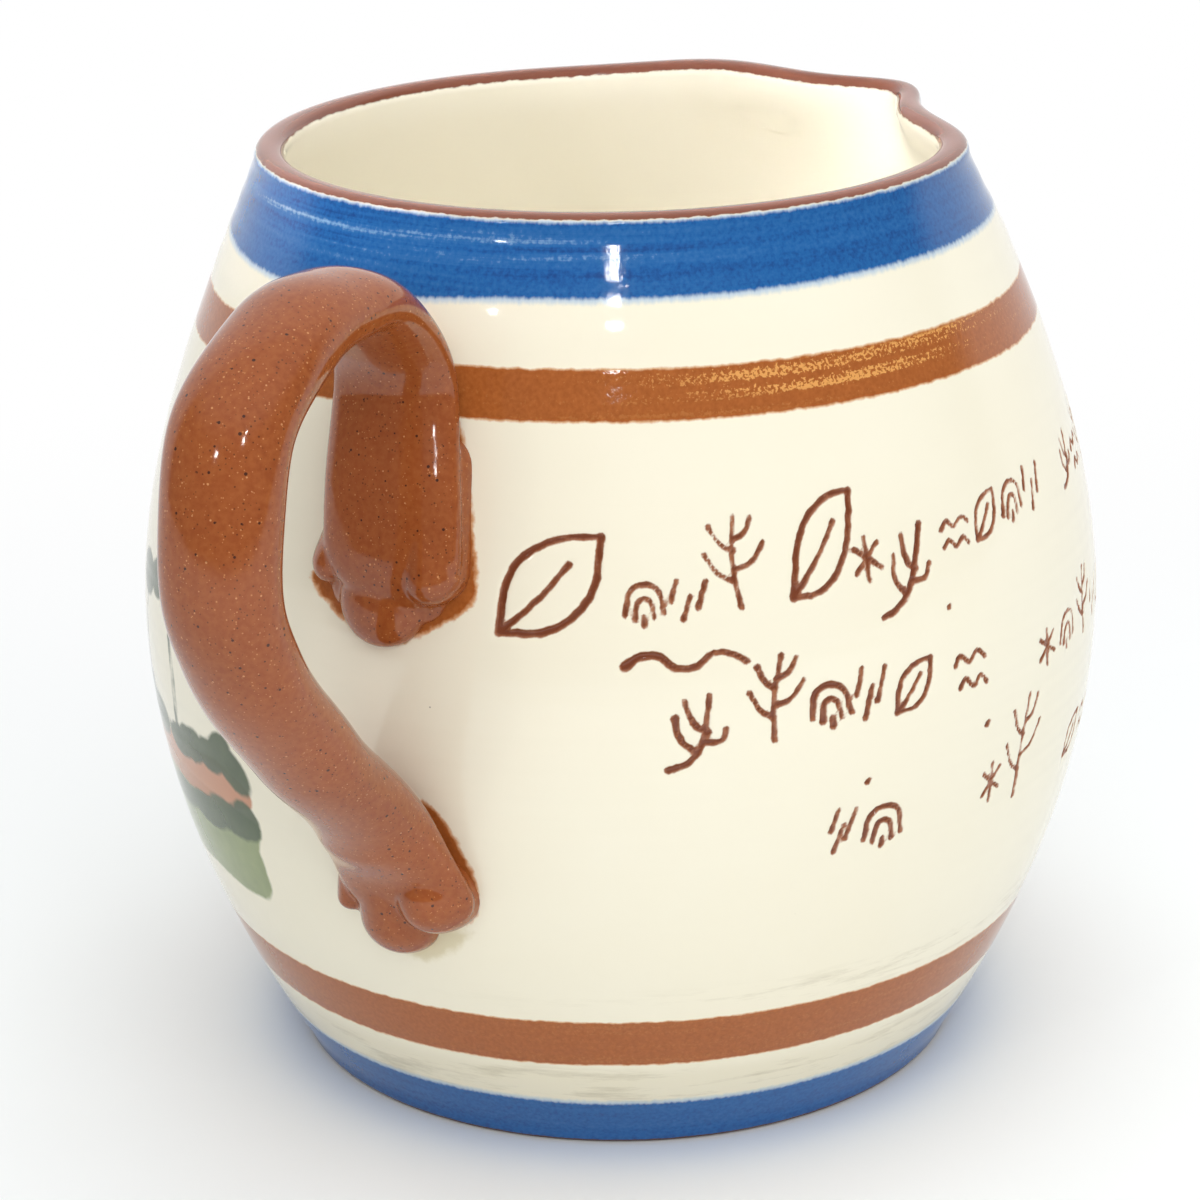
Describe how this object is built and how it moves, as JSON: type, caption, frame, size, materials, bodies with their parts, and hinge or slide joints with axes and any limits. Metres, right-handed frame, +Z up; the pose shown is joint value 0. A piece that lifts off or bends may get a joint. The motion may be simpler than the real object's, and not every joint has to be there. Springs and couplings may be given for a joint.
{
  "type": "milk jug",
  "caption": "Barrel-shaped glazed earthenware milk jug with a pinched spout, a looped strap handle and banded slip decoration.",
  "frame": {"origin": "centre of the flat underside that the jug stands on", "axes": "+Z up, -X towards the handle; the spout points to +X, turned 28.5 degrees towards -Y"},
  "size_m": [0.1447, 0.1091, 0.1062],
  "materials": {
    "jug": "clear gloss glaze over cream slip on red earthenware, with blue and brown bands"
  },
  "bodies": {
    "root": {"jug": "jug"}
  },
  "joints": []
}
